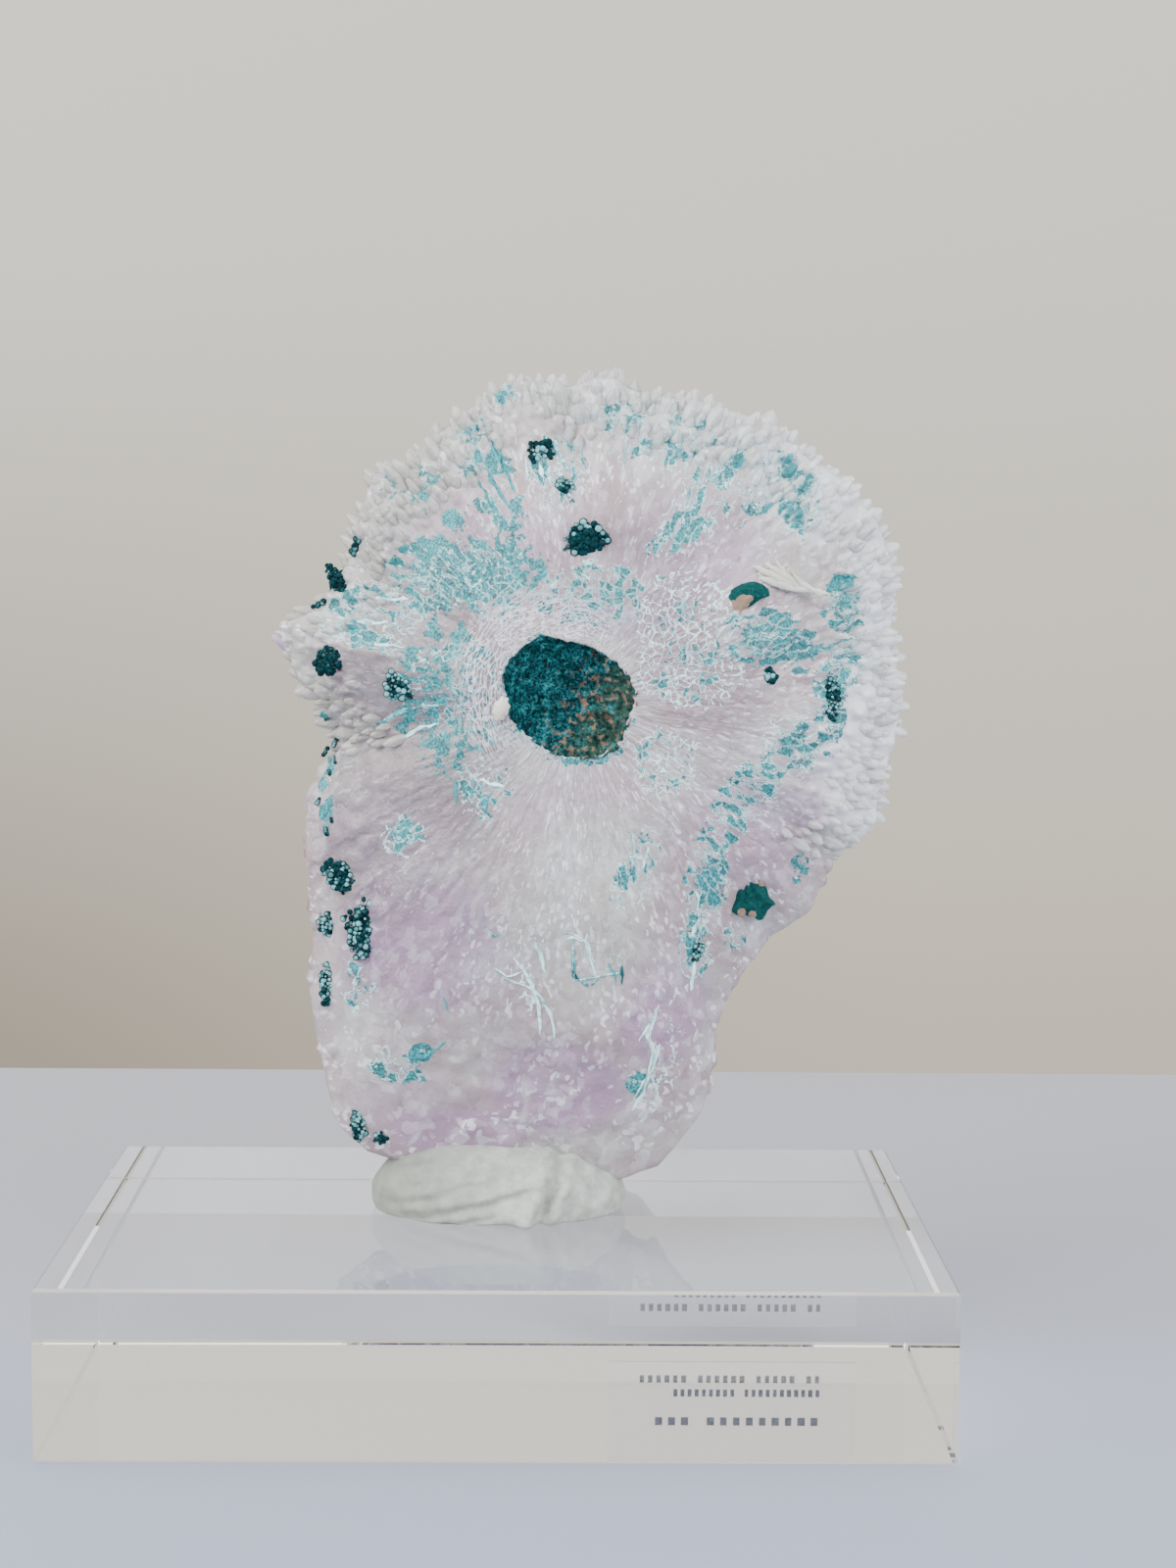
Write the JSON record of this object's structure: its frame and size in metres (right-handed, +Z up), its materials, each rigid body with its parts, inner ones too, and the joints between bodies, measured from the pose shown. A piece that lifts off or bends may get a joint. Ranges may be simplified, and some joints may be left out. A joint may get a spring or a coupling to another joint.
{
  "type": "amethyst flower",
  "caption": "Rosette of pale quartz crystals round a green matrix core, held upright by a lump of white putty on a clear acrylic block.",
  "frame": {"origin": "centre of the clear block's underside", "axes": "+Z up; -Y towards the side with the green matrix, +Y the way the flower's crystal points face; +X to the right as seen from -Y"},
  "size_m": [0.13, 0.0802, 0.156],
  "materials": {
    "quartz": "milky pale lilac quartz, clearer at the tips, with teal veins",
    "matrix": "granular dark teal celadonite",
    "putty": "hand-pressed off-white mounting putty",
    "acrylic": "polished clear acrylic",
    "film": null
  },
  "bodies": {
    "root": {"amethyst": "quartz", "green_core": "matrix", "green_lump_above_core": "matrix", "green_lump_top": "matrix", "green_bead_top": "matrix", "green_crescent_right": "matrix", "green_fan_lower_right": "matrix", "green_lump_left_outer": "matrix", "green_lump_left_inner": "matrix", "green_druse_left_upper": "matrix", "green_druse_left_middle": "matrix", "green_druse_left_outer": "matrix", "green_druse_left_lower": "matrix", "green_chain_lower_left": "matrix", "green_bead_lower_left": "matrix", "green_seam_left_edge": "matrix", "green_vug_lower_right": "matrix", "green_seam_right": "matrix", "green_ring_right": "matrix", "putty_lump": "putty", "putty_smear": "putty", "putty_dab": "putty", "acrylic_block": "acrylic", "caption_film": "film"}
  },
  "joints": []
}
